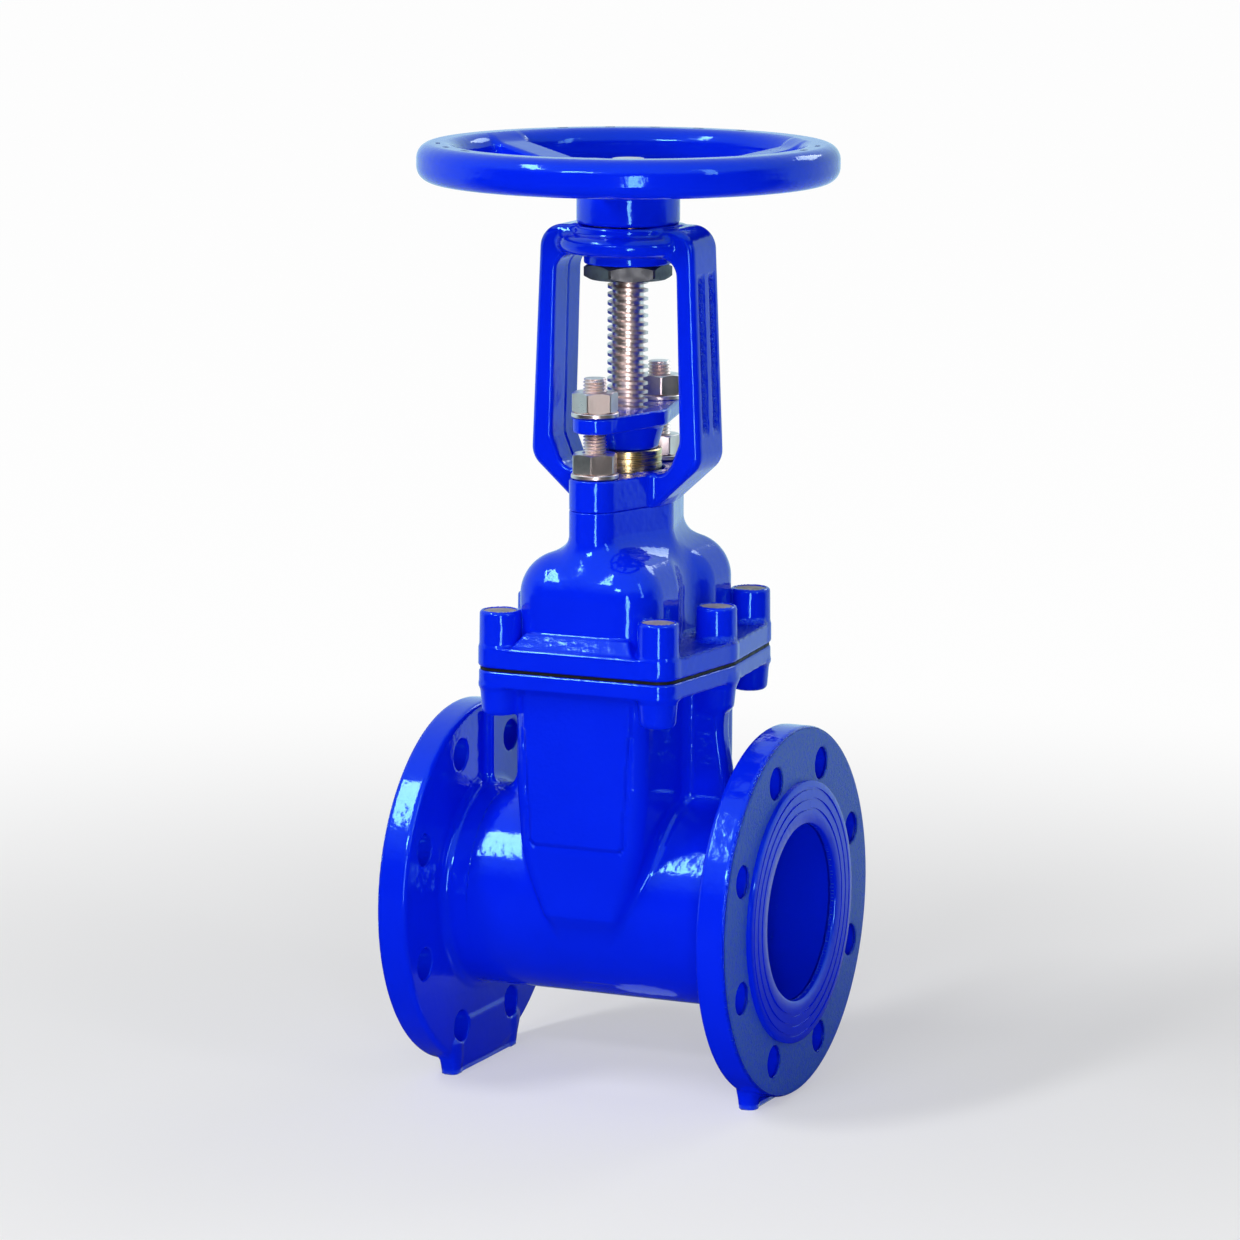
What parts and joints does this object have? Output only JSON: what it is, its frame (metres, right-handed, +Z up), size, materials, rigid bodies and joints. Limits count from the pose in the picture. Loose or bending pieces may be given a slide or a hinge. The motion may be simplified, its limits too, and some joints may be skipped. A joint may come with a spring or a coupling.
{
  "type": "rising stem gate valve",
  "caption": "Flanged resilient-seated gate valve with an outside screw and yoke: turning the handwheel lifts the threaded stem and the gate.",
  "frame": {"origin": "on the stem axis, on the floor under the flange feet", "axes": "+Z up along the stem, +X along the pipe, +Y across the pipe"},
  "size_m": [0.248, 0.248, 0.5615],
  "materials": {
    "blue_epoxy": "thick glossy fusion-bonded epoxy over ductile iron, ultramarine blue",
    "stainless": "turned stainless steel",
    "zinc_steel": "bright zinc plate",
    "sealing_wax": "dull hardened wax",
    "brass": "turned brass",
    "black_steel": "blackened steel",
    "rubber": "moulded rubber"
  },
  "bodies": {
    "valve": {"body": "blue_epoxy", "body_gasket": "rubber", "bonnet": "blue_epoxy", "bonnet_bolt_1": "zinc_steel", "bonnet_bolt_2": "zinc_steel", "bonnet_bolt_3": "zinc_steel", "bonnet_bolt_4": "zinc_steel", "bonnet_bolt_5": "zinc_steel", "bonnet_bolt_6": "zinc_steel", "bolt_cap_1": "sealing_wax", "bolt_cap_2": "sealing_wax", "bolt_cap_3": "sealing_wax", "bolt_cap_4": "sealing_wax", "bolt_cap_5": "sealing_wax", "bolt_cap_6": "sealing_wax", "yoke": "blue_epoxy", "stem_bush": "brass", "gland": "blue_epoxy", "gland_stud_front": "stainless", "gland_stud_rear": "stainless", "base_washer_front": "stainless", "base_washer_rear": "stainless", "base_nut_front": "stainless", "base_nut_rear": "stainless", "gland_washer_front": "stainless", "gland_washer_rear": "stainless", "gland_nut_front": "stainless", "gland_nut_rear": "stainless"},
    "wheel": {"handwheel": "blue_epoxy", "stem_nut": "brass", "yoke_lock_nut": "black_steel", "handwheel_nut": "black_steel"},
    "stem_group": {"stem": "stainless", "gate": "rubber", "gate_nut": "brass"}
  },
  "joints": [
    {"name": "handwheel_spin", "type": "hinge", "parent": "valve", "child": "wheel", "pos_m": [0, 0, 0.5], "axis": [0, 0, 1], "range_deg": [0, 7920]},
    {"name": "stem_rise", "type": "slide", "parent": "valve", "child": "stem_group", "axis": [0, 0, 1], "range_m": [0, 0.11]}
  ],
  "couplings": [
    {"joint": "stem_rise", "follows": "handwheel_spin", "m_per_rad": 0.00079577}
  ]
}
